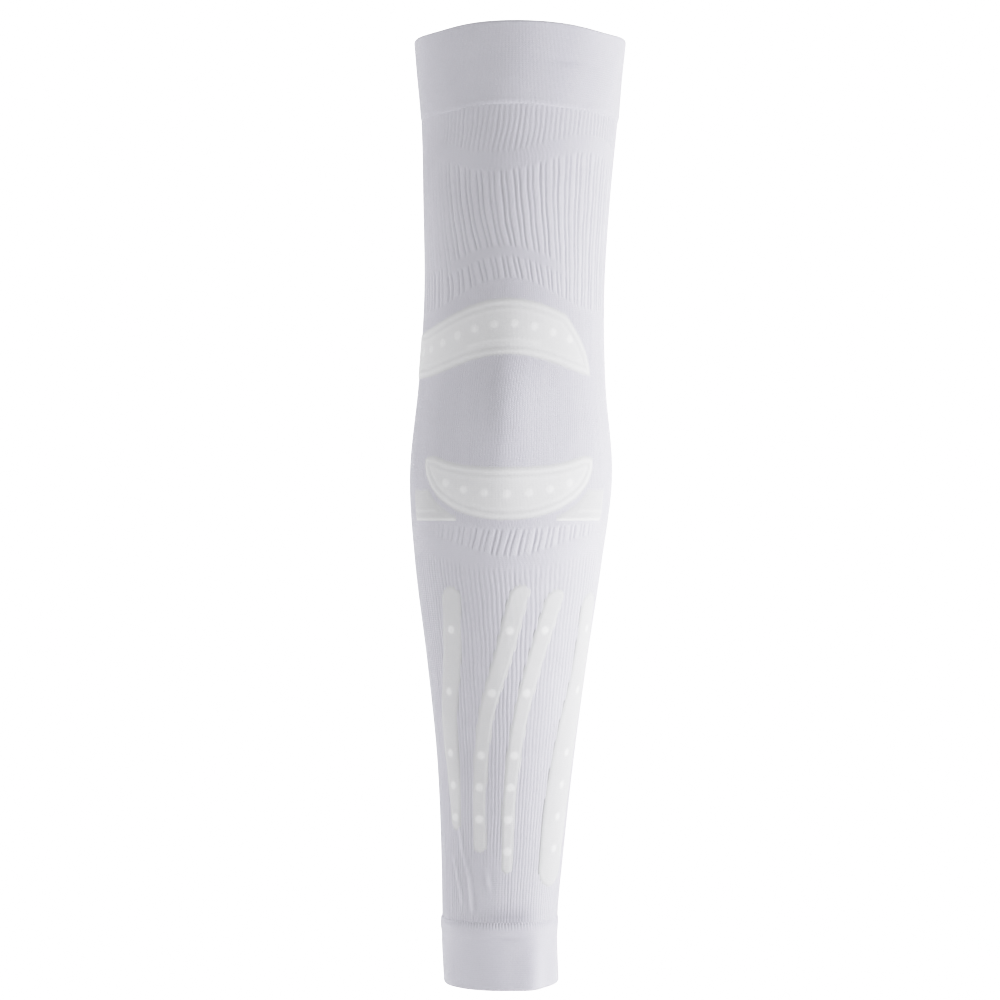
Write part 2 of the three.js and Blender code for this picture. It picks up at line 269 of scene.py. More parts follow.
def welt_outline(top, top_roll, foot, foot_roll, outer_rows, inner_rows):
    """The closed outline of a double welt: down its outside, round the foot, up the inside and over the top.

    Each end is rolled over a height of its own, small where the welt meets the ribs.
    """
    radius = CUFF_WALL / 2
    middle = CUFF_PROUD - radius
    turns = np.linspace(0, math.pi, ROLL_POINTS)
    high = top - top_roll
    low = foot + foot_roll
    outer = [(CUFF_PROUD, z) for z in np.linspace(high, low, outer_rows)]
    under = [(middle + radius * math.cos(t), low - foot_roll * math.sin(t)) for t in turns[1:-1]]
    inner = [(CUFF_PROUD - CUFF_WALL, z) for z in np.linspace(low, high, inner_rows)]
    over = [(middle - radius * math.cos(t), high + top_roll * math.sin(t)) for t in turns[1:]]
    return np.array(outer + under + inner + over)


def outer_face(out):
    """How far a place on a cuff's outline belongs to its outside."""
    return soft_step(out, CUFF_PROUD - OUTER_FACE["from"], CUFF_PROUD - OUTER_FACE["whole"])


def crease(fold, angle, height):
    """How deep a soft crease in a cuff is at a place."""
    depth = fold["depth"] * hump(angle, fold["angle"], fold["round"])
    return depth * hump(height, fold["height"], fold["along"])


def slack(angle, height):
    """The slight unevenness of a plain cuff."""
    return ripple(SLACK, np.radians(angle), height)


def to_seam(height, seam):
    """How far a cuff's outside falls away towards its seam, so that it runs out flush on the ribs."""
    return SEAM["drop"] * (1 - soft_step(np.abs(height - seam), 0, SEAM["reach"]))


upper_outline = welt_outline(0, MOUTH_ROLL, UPPER_CUFF_FOOT, SEAM_ROLL, outer_rows=64, inner_rows=10)


def lay_upper_cuff(across, along):
    angle = across * 360 - 180
    out = upper_outline[:, :1] + 0 * angle
    height = upper_outline[:, 1:] + 0 * angle
    outside = outer_face(out)
    dip = crease(UPPER_CREASE, angle, height)
    bead = BEAD["rise"] * hump(height, BEAD["height"], BEAD["reach"])
    bead = bead * (1 + BEAD["loops"] * np.cos(across * WALES * math.pi))
    bead = bead * (1 - soft_step(np.abs(angle), BEAD["from"], BEAD["to"]))
    out = out + outside * (bead - dip + slack(angle, height) - to_seam(height, UPPER_CUFF_FOOT))
    mouth = MOUTH_RISE["rise"] * hump(turn_from(angle, MOUTH_RISE["angle"]), 0, MOUTH_RISE["round"])
    mouth = mouth - MOUTH_DIP["depth"] * hump(np.abs(angle), MOUTH_DIP["angle"], MOUTH_DIP["round"])
    mouth = mouth * soft_step(height, -MOUTH_DIP["along"], 0)
    hang = arch(SEAM_HANG, angle) * soft_step(height, SEAM_HANG_FROM, UPPER_CUFF_FOOT)
    return {
        "angle": angle, "height": height + mouth + hang, "out": out,
        "wale": across * WALES, "course": height / COURSE,
        "sunk": CUFF_SHADE + CREASE_SHADE * outside * dip,
    }


cuff_finish = knit_finish("cuff_knit_finish", WHITE_YARN, WHITE_YARN_SHADE, stitch_height=0.08 * MM)
upper_welt = knit_cloth("upper_welt", CUFF_COLUMNS, len(upper_outline) - 1, lay_upper_cuff)
upper_welt.data.materials.append(cuff_finish)
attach(upper_welt, "root")
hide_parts("upper_cuff")


# Knit tube
# One circular-knit tube of nylon and elastane from cuff to cuff. Its zones are knitted in turn: fine ribs, a
# wavy plain strip, broad ribs of two and three wales that end in arches, a plain elbow and fine forearm ribs.
COLUMNS_IN_WALE = 3
KNIT_WALL = 1.8
TUBE_TOP = -32.7
TUBE_FOOT = -385.7
TUCK = {"depth": 0.5, "height": 0.8}
INNER_ROWS = 8
FINE_RIBS = {"depth": 0.255, "power": 1.5}
BROAD_RIBS = {"depth": 0.405, "power": 1.2, "valley": 0.8, "first": 2, "repeat": 5}
# The plain tone of the knit, and its painted shade per millimetre deeper than a share of its deepest valley.
SHADE = {"plain": 0.16, "in_depth": 0.9, "mean_share": 0.4}
WAVE = {"height": -57, "rise": 4.7, "waves": 3, "lowest": -13}
PLAIN_STRIP = 6.5
PLAIN_ARC = {"height": 3.5, "from": 30, "to": 48}
UPPER_RIBS_FOOT = {"centre": -8, "crown": -94.5, "drop": 10.3, "reach": 60}
ARCH_RIBS_FOOT = {"centre": -4, "crown": -108, "drop": 12.5, "reach": 60}
LOWER_RIBS_TOP = {"centre": 0, "crown": -213.4, "drop": -2, "reach": 50}
LOWER_RIBS_FOOT = {"centre": 0, "crown": -225.8, "drop": -9, "reach": 55}
FOREARM_RIBS_TOP = {"centre": 0, "crown": -229.5, "drop": -7, "reach": 75}
LEAN = np.array([  # height, and how far round the ribs have leaned by there, in degrees
    (-383, 0.0), (-300, 0.0), (-245, -1.5), (-226, -3.4), (-213, 0.4), (-190, 0.8), (-150, 4.0),
    (-112, 10.2), (-100, 6.6), (-84, 1.2), (-64, -2.6), (-54, -3.4), (-44, -1.2), (-34, 0.0),
])
LEAN_ROUND = {"centre": -20, "reach": 85}
WANDER = [(0.18, 7, 5.3), (0.16, -19, 2.6)]
VALLEY_DEPTH = {"mean": 0.86, "waves": [(0.2, 31, 21), (0.16, 53, -13)]}
LEFT_SIDE = {"angle": -100, "from": 44, "to": 70, "depth": 0.22}
UNDER_CUFF = {"angle": 5, "round": 25, "flatter": 0.2}
LOWER_RIBS = {"angle": 4, "from": 44, "to": 60, "left": (-40, -10), "left_depth": 0.6}
ELBOW_DEPTH = 0.5
FOREARM_RIBS = {"depth": 0.92, "right": (5, 40), "right_flatter": 0.3, "back": (100, 150)}
LOW_RIBS = {"left": (-35, -15), "top": (-295, -262), "flatter": 0.25}
PATCH = {"left": (-44, -34), "right": (-6, 6), "foot": (-384, -379), "top": (-362, -352), "flatter": 0.85}
RIDGES = [  # rows of height and angle of the raised courses that run on from the strips to the lower cuff
    [(-381, -27.9), (-364, -33.0), (-354, -40.3), (-343, -44.0)],
    [(-379, -38.9), (-366, -46.6), (-355, -54.2)],
    [(-370, -10.4), (-366, -12.6), (-361, -15.3)],
]
RIDGE = {"rise": 0.32, "reach": 0.85, "sunk": 0.14, "beside": 1.8, "run_in": 2.6}
DRAWN_IN = {"angle": 8, "round": 24, "height": -381.5, "along": 3.0, "depth": 0.4}


def wave(angle):
    """The height of the wavy top of the broad ribs."""
    return WAVE["height"] - WAVE["rise"] * np.cos(np.radians(WAVE["waves"] * (angle - WAVE["lowest"])))


lean_down = curve_through(LEAN[:, 0], LEAN[:, 1])


def lean(angle, height):
    """How far round the wales have leaned at a place, in degrees, which dies away towards the back."""
    turn = np.clip(np.abs(turn_from(angle, LEAN_ROUND["centre"])) / LEAN_ROUND["reach"], 0, 1)
    return lean_down(height) * np.cos(turn * math.pi / 2) ** 2


def wander(across, height):
    """The small sideways wander of the wales, in degrees."""
    return ripple(WANDER, across * math.tau, height)


def uneven(across, height):
    """How the depth of the valleys varies from rib to rib."""
    return VALLEY_DEPTH["mean"] + ripple(VALLEY_DEPTH["waves"], across * math.tau, height)


def broad_valleys(wale):
    """Ribs of two and three wales, with a narrow valley after each."""
    place = wale % BROAD_RIBS["repeat"]
    near = np.minimum(np.minimum(place, BROAD_RIBS["repeat"] - place), np.abs(place - BROAD_RIBS["first"]))
    return BROAD_RIBS["depth"] * np.clip(1 - near / BROAD_RIBS["valley"], 0, 1) ** BROAD_RIBS["power"]


def fine_valleys(wale):
    """Ribs of two wales, with a soft valley after each."""
    return FINE_RIBS["depth"] * (0.5 + 0.5 * np.cos(wale * math.pi)) ** FINE_RIBS["power"]


def single_valleys(wale):
    """Single wales, with a soft valley after each."""
    return fine_valleys(2 * wale)


def no_valleys(wale):
    return 0 * wale


def nowhere(angle):
    return 0.0


def everywhere(angle):
    return 1.0


def at_the_sides(angle):
    """Where the broad ribs run on across the plain arc."""
    beside = np.abs(turn_from(angle, UPPER_RIBS_FOOT["centre"]))
    return soft_step(beside, PLAIN_ARC["from"], PLAIN_ARC["to"])


def across_arc(angle, height):
    return at_the_sides(angle)


def off_left_side(angle, height):
    """The ribs of the upper arm are knitted shallow along its left side."""
    away = soft_step(np.abs(turn_from(angle, LEFT_SIDE["angle"])), LEFT_SIDE["from"], LEFT_SIDE["to"])
    return LEFT_SIDE["depth"] + (1 - LEFT_SIDE["depth"]) * away


def under_cuff(angle, height):
    """The fine ribs under the upper cuff are stretched flatter in front."""
    flatter = UNDER_CUFF["flatter"] * hump(angle, UNDER_CUFF["angle"], UNDER_CUFF["round"])
    return off_left_side(angle, height) * (1 - flatter)


def in_front(angle, height):
    """The short ribs below the elbow are knitted in front only, and shallower on the left."""
    beside = np.abs(turn_from(angle, LOWER_RIBS["angle"]))
    whole = soft_step(angle, *LOWER_RIBS["left"])
    depth = LOWER_RIBS["left_depth"] + (1 - LOWER_RIBS["left_depth"]) * whole
    return (1 - soft_step(beside, LOWER_RIBS["from"], LOWER_RIBS["to"])) * depth


def faint(angle, height):
    """The wales of the plain elbow barely show."""
    return ELBOW_DEPTH


def off_patch(angle, height):
    """The forearm ribs are shallower on the right and lower down, and fade over a patch above the wrist."""
    patch = soft_step(angle, *PATCH["left"]) * (1 - soft_step(angle, *PATCH["right"]))
    patch = patch * soft_step(height, *PATCH["foot"]) * (1 - soft_step(height, *PATCH["top"]))
    off_back = 1 - soft_step(angle, *FOREARM_RIBS["back"])
    right = soft_step(angle, *FOREARM_RIBS["right"]) * off_back
    low = soft_step(angle, *LOW_RIBS["left"]) * off_back * (1 - soft_step(height, *LOW_RIBS["top"]))
    depth = (FOREARM_RIBS["depth"] - FOREARM_RIBS["right_flatter"] * right) * (1 - LOW_RIBS["flatter"] * low)
    return depth * (1 - PATCH["flatter"] * patch)


def edge(shape, lower=0):
    return lambda angle: arch(shape, angle) - lower


def tube_top(angle):
    return TUBE_TOP - TUCK["height"] + arch(SEAM_HANG, angle)


def strip_top(angle):
    return wave(angle) + PLAIN_STRIP


def tube_foot(angle):
    return TUBE_FOOT + TUCK["height"] + 0 * angle


arc_top = edge(UPPER_RIBS_FOOT)
arc_foot = edge(UPPER_RIBS_FOOT, PLAIN_ARC["height"])
elbow_top = edge(ARCH_RIBS_FOOT)
elbow_foot = edge(LOWER_RIBS_TOP)
short_foot = edge(LOWER_RIBS_FOOT)
forearm_top = edge(FOREARM_RIBS_TOP)
ZONES = [  # from the upper cuff down; run_in is the share of a zone's height in which its ribs start and end
    {"above": tube_top, "below": strip_top, "rows": 12,
     "valleys": fine_valleys, "run_in": 0.08, "where": under_cuff},
    {"above": strip_top, "below": wave, "rows": 3},
    {"above": wave, "below": arc_top, "rows": 20,
     "valleys": broad_valleys, "run_in": 0.04, "where": off_left_side, "runs_out": at_the_sides},
    {"above": arc_top, "below": arc_foot, "rows": 2,
     "valleys": broad_valleys, "where": across_arc},
    {"above": arc_foot, "below": elbow_top, "rows": 9,
     "valleys": broad_valleys, "run_in": 0.12, "runs_in": at_the_sides},
    {"above": elbow_top, "below": elbow_foot, "rows": 20,
     "valleys": single_valleys, "run_in": 0.03, "where": faint},
    {"above": elbow_foot, "below": short_foot, "rows": 9,
     "valleys": broad_valleys, "run_in": 0.12, "where": in_front},
    {"above": short_foot, "below": forearm_top, "rows": 2},
    {"above": forearm_top, "below": tube_foot, "rows": 50,
     "valleys": fine_valleys, "run_in": 0.02, "where": off_patch, "runs_out": everywhere},
]


def zone_rows(rows, run_in):
    """The shares of the way down a zone that its rows have, closer where its ribs run in and out."""
    if not run_in:
        return np.arange(rows)[:, None] / rows
    middle = np.linspace(run_in, 1 - run_in, rows - 3)
    return np.concatenate([[0, run_in / 2], middle, [1 - run_in / 2]])[:, None]


def ridges(angle, height):
    """How far out the ridges on the forearm stand, with the knit drawn in beside them."""
    out = 0 * angle
    for rows in RIDGES:
        place, turn = np.array(rows).T
        beside = np.abs(angle - curve_through(place, turn)(height)) * math.radians(1) * half_width(height)
        run = soft_step(height, place[0], place[0] + RIDGE["run_in"])
        run = run * (1 - soft_step(height, place[-1] - RIDGE["run_in"], place[-1]))
        rise = RIDGE["rise"] * hump(beside, 0, RIDGE["reach"])
        out = out + run * (rise - RIDGE["sunk"] * hump(beside, RIDGE["beside"], RIDGE["reach"]))
    return out


def lay_zone(zone, across, share=None):
    """The rows of a zone of the tube: each place's angle, height, distance out, and tone with painted shade.
    """
    straight = across * 360 - 180
    run_in = zone.get("run_in", 0)
    if share is None:
        share = zone_rows(zone["rows"], run_in)
    height = zone["above"](straight) * (1 - share) + zone["below"](straight) * share
    angle = straight + lean(straight, height)
    if "valleys" in zone:
        angle = angle + wander(across, height)
    height = zone["above"](angle) * (1 - share) + zone["below"](angle) * share
    strength = uneven(across, height)
    if "where" in zone:
        strength = strength * zone["where"](angle, height)
    if run_in:
        start = 1 - soft_step(share, 0, run_in)
        end = soft_step(share, 1 - run_in, 1)
        strength = strength * (1 - start * (1 - zone.get("runs_in", nowhere)(angle)))
        strength = strength * (1 - end * (1 - zone.get("runs_out", nowhere)(angle)))
    valleys = zone.get("valleys", no_valleys)(across * WALES)
    mean = SHADE["mean_share"] * valleys.max()
    drawn = hump(turn_from(angle, DRAWN_IN["angle"]), 0, DRAWN_IN["round"])
    drawn = DRAWN_IN["depth"] * drawn * hump(height, DRAWN_IN["height"], DRAWN_IN["along"])
    out = ridges(angle, height) - drawn - strength * valleys
    # Painted shade: darker the deeper the knit lies in a valley, drawn in or beside a ridge, paler on crests.
    sunk = SHADE["plain"] + SHADE["in_depth"] * (-out - strength * mean)
    return angle, height, out, sunk


def lay_knit_tube(across, along):
    straight = across * 360 - 180
    level = 0 * straight
    top = TUBE_TOP + arch(SEAM_HANG, straight)
    tucked = (straight, top, -TUCK["depth"] + level, SHADE["plain"] + level)
    inside = np.linspace(TUBE_FOOT, TUBE_TOP, INNER_ROWS)[:, None] + 0 * straight
    lines = [tucked]
    lines += [lay_zone(zone, across) for zone in ZONES]
    lines += [
        lay_zone(ZONES[-1], across, np.ones((1, 1))),
        (straight, TUBE_FOOT + level, -TUCK["depth"] + level, SHADE["plain"] + level),
        (straight + 0 * inside, inside, -KNIT_WALL + 0 * inside, SHADE["plain"] + 0 * inside),
        tucked,
    ]
    angle, height, out, sunk = (np.concatenate(parts) for parts in zip(*lines))
    return {
        "angle": angle, "height": height, "out": out,
        "wale": across * WALES, "course": height / COURSE, "sunk": sunk,
    }


rib_finish = knit_finish("rib_knit_finish", WHITE_YARN, WHITE_YARN_SHADE, stitch_height=0.1 * MM)
# Four single lines are laid besides the zones and the inside, and there is one row fewer than lines.
tube_rows = sum(zone["rows"] for zone in ZONES) + INNER_ROWS + 3
knit_tube = knit_cloth("rib_knit_tube", WALES * COLUMNS_IN_WALE, tube_rows, lay_knit_tube)
knit_tube.data.materials.append(rib_finish)
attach(knit_tube, "root")
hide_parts("upper_arm_knit", "elbow_knit", "forearm_knit")


# Lower cuff
# The same double welt at the wrist, knitted last. Its top stands out in a narrow roll, which is drawn into
# small scallops where the forearm ribs run into it.
LOWER_CUFF_TOP = -384
LOWER_CUFF_FOOT = -414
TOP_ROLL = {"foot": -390.6, "run_out": 3.0, "rise": 0.4}
TOP_ROLL_ROUND = {"angle": -80, "from": 70, "to": 120, "share": 0.35}
SCALLOP = {"rise": 0.4, "swell": 0.12, "reach": 3.0}
LOWER_CREASE = {"angle": 8, "round": 18, "height": -391.2, "along": 1.0, "depth": 0.2}

lower_outline = welt_outline(
    LOWER_CUFF_TOP, SEAM_ROLL, LOWER_CUFF_FOOT, MOUTH_ROLL, outer_rows=40, inner_rows=10)


def cuff_roll(angle, height):
    """How far the roll at the top of the lower cuff stands out, fully on the left and less on the right."""
    half_run = TOP_ROLL["run_out"] / 2
    roll = TOP_ROLL["rise"] * soft_step(height, TOP_ROLL["foot"] - half_run, TOP_ROLL["foot"] + half_run)
    beside = np.abs(turn_from(angle, TOP_ROLL_ROUND["angle"]))
    lower = (1 - TOP_ROLL_ROUND["share"]) * soft_step(beside, TOP_ROLL_ROUND["from"], TOP_ROLL_ROUND["to"])
    return roll * (1 - lower)


def lay_lower_cuff(across, along):
    angle = across * 360 - 180
    out = lower_outline[:, :1] + 0 * angle
    height = lower_outline[:, 1:] + 0 * angle
    outside = outer_face(out)
    scallop = outside * hump(height, LOWER_CUFF_TOP, SCALLOP["reach"]) * np.cos(across * WALES * math.pi)
    dip = crease(LOWER_CREASE, angle, height)
    roll = cuff_roll(angle, height) - to_seam(height, LOWER_CUFF_TOP)
    out = out + SCALLOP["swell"] * scallop + outside * (slack(angle, height) + roll - dip)
    return {
        "angle": angle, "height": height + SCALLOP["rise"] * (scallop - abs(scallop)), "out": out,
        "wale": across * WALES, "course": height / COURSE,
        "sunk": CUFF_SHADE + CREASE_SHADE * outside * dip,
    }


lower_welt = knit_cloth("lower_welt", CUFF_COLUMNS, len(lower_outline) - 1, lay_lower_cuff)
lower_welt.data.materials.append(cuff_finish)
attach(lower_welt, "root")
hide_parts("lower_cuff")


# Elbow bands
# Two raised bands of a thicker close knit frame the elbow, an arch above it and a boat below, each with a
# corded border and a row of knitted-in dots. They are knitted into the tube, so their edges grow out of it.
UPPER_BAND = {
    "top": {"centre": -4, "crown": -115.4, "drop": 12.7, "reach": 75},
    "foot": {"centre": -3, "crown": -140.9, "drop": 8.6, "reach": 65},
    "left": (-90, -97),
    "right": (55, 34),
    "end_bow": 2.4,
}
UPPER_LINE = {"above_foot": 7.2, "reach": 0.8, "rise": 0.12, "left": -26, "right": 14, "run_out": 4}
UPPER_DOTS = {"angles": range(-72, 37, 12), "share": 0.55}
LOWER_BAND = {"centre": -2.5, "reach": 55, "horns": -184, "depth": 26.6}
BRIM = {"height": -187, "rise": 4.8, "reach": 45, "power": 2.5}
SHOULDER = {"turn": 5, "drop": 3.4}
LOWER_DOTS = {"turns": range(-36, 37, 12), "share": 0.5}
HORN_TURN = 86
LAYER = {"rise": 0.3, "sunk_edge": 0.1, "edge": 2.8, "sunk": 0.137}
LAYER_THICKNESS = 0.9
EDGE_SHADE = 0.48
CORDS = [  # how far in from a band's outline each cord or groove of its border runs, its reach and its rise
    {"inset": 2.2, "reach": 0.9, "rise": 0.07},
    {"inset": 4.0, "reach": 0.8, "rise": -0.11},
    {"inset": 5.6, "reach": 0.8, "rise": 0.05},
]
DOT = {"radius": 2.3, "rise": 0.16, "power": 1.5}
# The paler share follows the border's rise, so its groove is painted darker: painted shade.
PALER = {"cord": 0.9, "line": 0.13, "dot": 0.4}
CLOSE_YARN = (0.97, 0.97, 0.978)
CLOSE_YARN_SHADE = (0.66, 0.66, 0.675)

raised_finish = knit_finish("raised_knit_finish", CLOSE_YARN, CLOSE_YARN_SHADE, stitch_height=0.06 * MM)


def dots(angle, height, places):
    """Round bosses at the given angles and heights: how much of a boss each place has."""
    boss = 0 * angle * height
    for dot_angle, dot_height in places:
        mm_in_degree = math.radians(1) * half_width(dot_height)
        far = np.hypot((angle - dot_angle) * mm_in_degree, height - dot_height) / DOT["radius"]
        boss = np.maximum(boss, np.clip(1 - far ** 2, 0, 1) ** DOT["power"])
    return boss


def from_outline(angle, height):
    """How far in from a layer's outline each of its places is, in millimetres on the knit."""
    places = np.stack([angle * math.radians(1) * half_width(height), height], axis=-1)
    outline = np.concatenate([places[0], places[-1], places[:, 0], places[:, -1]])
    return np.array([np.linalg.norm(row[:, None] - outline, axis=2).min(axis=1) for row in places])


def lay_layer(angle, height, inset, rise, paler, body=LAYER):
    """A raised layer's places, from how far in from its outline they are and what stands up on it."""
    share = soft_step(inset, 0, body["edge"])
    return {
        "angle": angle, "height": height,
        "out": share * (body["rise"] + body["sunk_edge"] + rise) - body["sunk_edge"],
        "wale": angle * WALES / 360, "course": height / COURSE,
        "sunk": EDGE_SHADE + share * (body["sunk"] - EDGE_SHADE) - paler,
    }


def border(inset):
    """A band's border: a cord, a groove inside it and a lower cord inside that."""
    return sum(cord["rise"] * hump(inset, cord["inset"], cord["reach"]) for cord in CORDS)


def raised_layer(name, columns, rows, lay, replaced):
    """A raised layer of the close knit, with a plain back inside the tube's knit."""
    layer = knit_cloth(name, columns, rows, lay)
    bm = bmesh.new()
    bm.from_mesh(layer.data)
    bmesh.ops.solidify(bm, geom=bm.faces[:], thickness=LAYER_THICKNESS * MM)
    bm.to_mesh(layer.data)
    bm.free()
    layer.data.materials.append(raised_finish)
    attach(layer, "root")
    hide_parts(replaced)
    return layer


def upper_band_line(angle, above_foot):
    """How much of the line above the foot of the upper band each place has."""
    line = hump(above_foot, UPPER_LINE["above_foot"], UPPER_LINE["reach"])
    line = line * soft_step(angle, UPPER_LINE["left"] - UPPER_LINE["run_out"], UPPER_LINE["left"])
    return line * (1 - soft_step(angle, UPPER_LINE["right"], UPPER_LINE["right"] + UPPER_LINE["run_out"]))


def lay_upper_band(across, up):
    bowed = up ** UPPER_BAND["end_bow"]
    left = UPPER_BAND["left"][0] * (1 - bowed) + UPPER_BAND["left"][1] * bowed
    right = UPPER_BAND["right"][0] * (1 - bowed) + UPPER_BAND["right"][1] * bowed
    angle = left * (1 - across) + right * across
    foot = arch(UPPER_BAND["foot"], angle)
    top = arch(UPPER_BAND["top"], angle)
    height = foot * (1 - up) + top * up
    inset = from_outline(angle, height)
    cord = border(inset)
    line = upper_band_line(angle, height - foot)
    share = UPPER_DOTS["share"]
    places = [
        (a, arch(UPPER_BAND["foot"], a) * (1 - share) + arch(UPPER_BAND["top"], a) * share)
        for a in UPPER_DOTS["angles"]
    ]
    boss = dots(angle, height, places)
    rise = cord + UPPER_LINE["rise"] * line + DOT["rise"] * boss
    # Painted shade: the border's groove is painted darker in step with its depth.
    paler = PALER["cord"] * cord + PALER["line"] * line + PALER["dot"] * boss
    return lay_layer(angle, height, inset, rise, paler)


def hull(turn):
    """The foot of the boat, half an oval."""
    return LOWER_BAND["horns"] - LOWER_BAND["depth"] * np.sqrt(1 - (turn / LOWER_BAND["reach"]) ** 2)


def brim(turn):
    """The top of the boat, which rises to two rounded horns."""
    rise = BRIM["rise"] * np.clip(np.abs(turn) / BRIM["reach"], 0, 1) ** BRIM["power"]
    past = np.clip((np.abs(turn) - LOWER_BAND["reach"]) / SHOULDER["turn"] + 1, 0, 1)
    return BRIM["height"] + rise - SHOULDER["drop"] * (1 - np.sqrt(1 - past ** 2))


def lay_lower_band(across, up):
    turn = LOWER_BAND["reach"] * np.sin(np.radians((2 * across - 1) * HORN_TURN))
    height = hull(turn) * (1 - up) + brim(turn) * up
    angle = LOWER_BAND["centre"] + turn + 0 * up
    inset = from_outline(angle, height)
    cord = border(inset)
    share = LOWER_DOTS["share"]
    places = [
        (LOWER_BAND["centre"] + t, hull(t) * (1 - share) + brim(t) * share)
        for t in LOWER_DOTS["turns"]
    ]
    boss = dots(angle, height, places)
    # Painted shade: the border's groove is painted darker in step with its depth.
    paler = PALER["cord"] * cord + PALER["dot"] * boss
    return lay_layer(angle, height, inset, cord + DOT["rise"] * boss, paler)


bands = [
    raised_layer("upper_support_band", columns=250, rows=64, lay=lay_upper_band, replaced="upper_elbow_band"),
    raised_layer("lower_support_band", columns=220, rows=56, lay=lay_lower_band, replaced="lower_elbow_band"),
]


# Elbow wings
# A raised corner of the same close knit on each side under the boat's horns. Its straight base is a corded
# course that closes the elbow off from the ribs below.
WING = {"from": 29, "to": 68, "top": -196.5, "foot": -211.2, "clearance": 1.2}
HULL_END = 0.999 * LOWER_BAND["reach"]
WING_LAYER = {"rise": 0.16, "sunk_edge": 0.1, "edge": 3.0, "sunk": 0.42}
WING_CORD = {"inset": 1.6, "reach": 0.7, "rise": 0.07}
BARS = [  # height above the foot, reach, rise, and where each starts on the wing
    {"height": 1.4, "reach": 0.7, "rise": 0.26, "from": 0},
    {"height": 5.2, "reach": 0.7, "rise": 0.14, "from": 42},
]
BAR = {"run_in": 3, "run_out": (64, 67), "paler": 1.1}


def lay_wing(side):
    def lay(across, up):
        share = across if side > 0 else 1 - across
        turn = WING["from"] + (WING["to"] - WING["from"]) * share
        boat = np.clip(turn, 0, HULL_END)
        top = np.minimum(WING["top"], hull(boat) - WING["clearance"])
        height = WING["foot"] * (1 - up) + top * up
        angle = LOWER_BAND["centre"] + side * turn + 0 * up
        inset = from_outline(angle, height)
        rise = WING_CORD["rise"] * hump(inset, WING_CORD["inset"], WING_CORD["reach"])
        paler = PALER["cord"] * rise
        for bar in BARS:
            line = hump(height - WING["foot"], bar["height"], bar["reach"])
            line = line * soft_step(turn, bar["from"], bar["from"] + BAR["run_in"])
            line = line * (1 - soft_step(turn, *BAR["run_out"]))
            rise = rise + bar["rise"] * line
            paler = paler + BAR["paler"] * bar["rise"] * line
        return lay_layer(angle, height, inset, rise, paler, WING_LAYER)

    return lay


wings = [
    raised_layer("left_support_wing", columns=80, rows=40, lay=lay_wing(-1), replaced="elbow_wing_left"),
    raised_layer("right_support_wing", columns=80, rows=40, lay=lay_wing(1), replaced="elbow_wing_right"),
]


# Forearm strips
# Four raised tapes of the close knit run down the forearm and taper to the wrist, with knitted-in dots spaced
# along them. Where a tape is wider than 6 mm it is painted darker, a painted shade on the wide lit tape.
STRIPS = {  # rows of height, angle and width, from the tip up
    "forearm_strip_1": [
        (-345, -47, 4), (-325, -49, 7), (-300, -51, 9.5), (-268, -42, 9.5), (-238, -38, 9)],
    "forearm_strip_2": [
        (-354, -21.5, 5.2), (-325, -22, 5.6), (-295, -16, 6.3), (-268, -3, 7.5), (-237, 8.5, 8)],
    "forearm_strip_3": [
        (-363, 4, 3.8), (-330, 4, 5.1), (-300, 9, 5.8), (-268, 20.5, 7), (-239, 32.5, 8.6)],
    "forearm_strip_4": [
        (-370, 53, 14), (-330, 56, 18), (-300, 61, 17.5), (-275, 66.5, 15.5), (-241, 65, 13)],
}
STRIP_DOTS = {"heights": [-257, -284, -311, -325, -339, -353], "from_end": 4, "paler": 0.65}
STRIP_END_SHARE = 0.3
WIDE_STRIP = {"over": 6, "painted_shade": 0.0125}
STRIP_LAYER = {"rise": 0.22, "sunk_edge": 0.1, "edge": 1.8, "sunk": 0.28}
SELVEDGE = 0.8


def lay_strip(table):
    table = np.array(table, dtype=float)
    middle = curve_through(table[:, 0], table[:, 1])
    width = curve_through(table[:, 0], table[:, 2])
    tip = table[0, 0]
    top = table[-1, 0]
    lowest = tip + STRIP_DOTS["from_end"]
    highest = top - STRIP_DOTS["from_end"]
    places = [(middle(z), z) for z in STRIP_DOTS["heights"] if lowest < z < highest]

    def lay(across, up):
        height = tip + (top - tip) * (0.5 - 0.5 * np.cos(math.pi * up))
        half = width(height) / 2 + SELVEDGE
        from_end = np.minimum(top - height, height - tip)
        end = np.clip(from_end / half, 0, 1)
        half = half * np.maximum(np.sqrt(1 - (1 - end) ** 2), STRIP_END_SHARE)
        mm_in_degree = math.radians(1) * half_width(height)
        angle = middle(height) + (2 * across - 1) * half / mm_in_degree
        height = height + 0 * across
        inset = from_outline(angle, height)
        boss = dots(angle, height, places)
        # Painted shade: a tape over 6 mm wide is painted darker the wider it is, most on the lit right tape.
        painted_shade = WIDE_STRIP["painted_shade"] * np.clip(width(height) - WIDE_STRIP["over"], 0, None)
        paler = STRIP_DOTS["paler"] * boss - painted_shade
        return lay_layer(angle, height, inset, DOT["rise"] * boss, paler, STRIP_LAYER)

    return lay


strips = [
    raised_layer(
        name.replace("forearm", "support"), columns=20, rows=240, lay=lay_strip(table), replaced=name)
    for name, table in STRIPS.items()
]


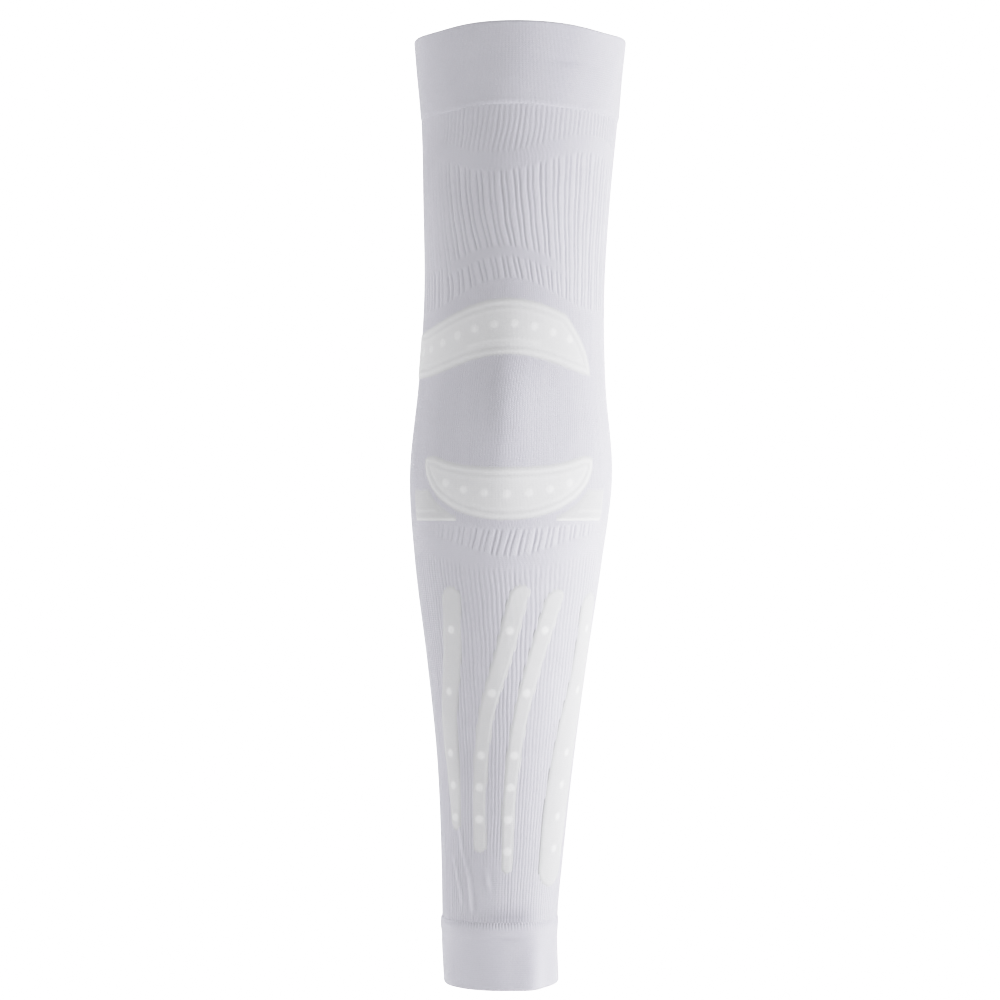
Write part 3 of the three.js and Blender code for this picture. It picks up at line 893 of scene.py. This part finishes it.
# Studio
# A pale round table under the sleeve, soft lights at the right front, the left and the back, and a camera
# level with the middle of the sleeve. Light past the knee is rolled off, so that white knit keeps its relief.
FLOOR = {"height": -0.534, "radius": 0.5, "thickness": 0.01, "segments": 128}
FLOOR_COLOUR = (0.86, 0.86, 0.86, 1)
FLOOR_ROUGHNESS = 0.9
LIGHTS = {  # angle round the sleeve, distance, height, width, length and power
    "front_light": (42, 0.6, -0.25, 0.15, 0.25, 0.48),
    "side_light": (75, 0.6, -0.22, 0.2, 0.3, 1.24),
    "forearm_light": (60, 0.8, -0.6, 0.3, 0.3, 2.2),
    "low_light": (75, 1.0, -0.65, 0.3, 0.4, 1.8),
    "left_light": (-100, 1.3, -0.25, 0.5, 1.2, 8.5),
    "wrist_light": (-75, 0.4, -0.52, 0.2, 0.15, 0.32),
    "back_light": (180, 1.5, -0.1, 1.0, 1.4, 3.5),
}
SKY = 0.51
BACKDROP = 3.0
KNEE = 0.6
ROLL_OFF = {"to": 2.0, "points": 15}
COMBINED_CURVE = 3
CAMERA = {"lens": 88.2, "sensor": 36, "place": (-0.0088, -1.078, -0.2015)}

bm = bmesh.new()
bmesh.ops.create_cone(
    bm, cap_ends=True, segments=FLOOR["segments"], radius1=FLOOR["radius"], radius2=FLOOR["radius"],
    depth=FLOOR["thickness"])
bmesh.ops.translate(bm, vec=(0, 0, FLOOR["height"] - FLOOR["thickness"] / 2), verts=bm.verts)
floor_mesh = bpy.data.meshes.new("pale_floor")
bm.to_mesh(floor_mesh)
bm.free()
floor = bpy.data.objects.new("pale_floor", floor_mesh)
bpy.context.collection.objects.link(floor)
floor_finish = bpy.data.materials.new("pale_floor_finish")
floor_finish.use_nodes = True
floor_shader = floor_finish.node_tree.nodes["Principled BSDF"]
floor_shader.inputs["Base Color"].default_value = FLOOR_COLOUR
floor_shader.inputs["Roughness"].default_value = FLOOR_ROUGHNESS
floor_mesh.materials.append(floor_finish)

for name, (angle, distance, height, width, length, power) in LIGHTS.items():
    lamp = bpy.data.lights.new(name, "AREA")
    lamp.shape = "RECTANGLE"
    lamp.size = width
    lamp.size_y = length
    lamp.energy = power
    light = bpy.data.objects.new(name, lamp)
    turn = math.radians(angle)
    light.location = (distance * math.sin(turn), -distance * math.cos(turn), height)
    light.rotation_euler = (math.pi / 2, 0, turn)
    bpy.context.collection.objects.link(light)

world = bpy.data.worlds.new("studio")
world.use_nodes = True
sky = Yarn(world.node_tree)
seen = sky.node("ShaderNodeLightPath", None, None, "Is Camera Ray")
strength = SKY + seen * (BACKDROP - SKY)
background = world.node_tree.nodes["Background"]
background.inputs["Color"].default_value = (1, 1, 1, 1)
strength.feed(background, "Strength")
bpy.context.scene.world = world

view = bpy.context.scene.view_settings
view.view_transform = "Standard"
view.use_curve_mapping = True
view.curve_mapping.clip_max_x = BACKDROP
roll_off = view.curve_mapping.curves[COMBINED_CURVE]
roll_off.points[-1].location = (BACKDROP, 1)
for level in np.linspace(KNEE, ROLL_OFF["to"], ROLL_OFF["points"]):
    roll_off.points.new(level, KNEE + (1 - KNEE) * (1 - math.exp((KNEE - level) / (1 - KNEE))))
for point in roll_off.points:
    point.handle_type = "VECTOR"
view.curve_mapping.update()

camera = bpy.data.objects.new("camera", bpy.data.cameras.new("camera"))
camera.data.lens = CAMERA["lens"]
camera.data.sensor_width = CAMERA["sensor"]
camera.location = CAMERA["place"]
camera.rotation_euler = (math.pi / 2, 0, 0)
bpy.context.collection.objects.link(camera)
bpy.context.scene.camera = camera
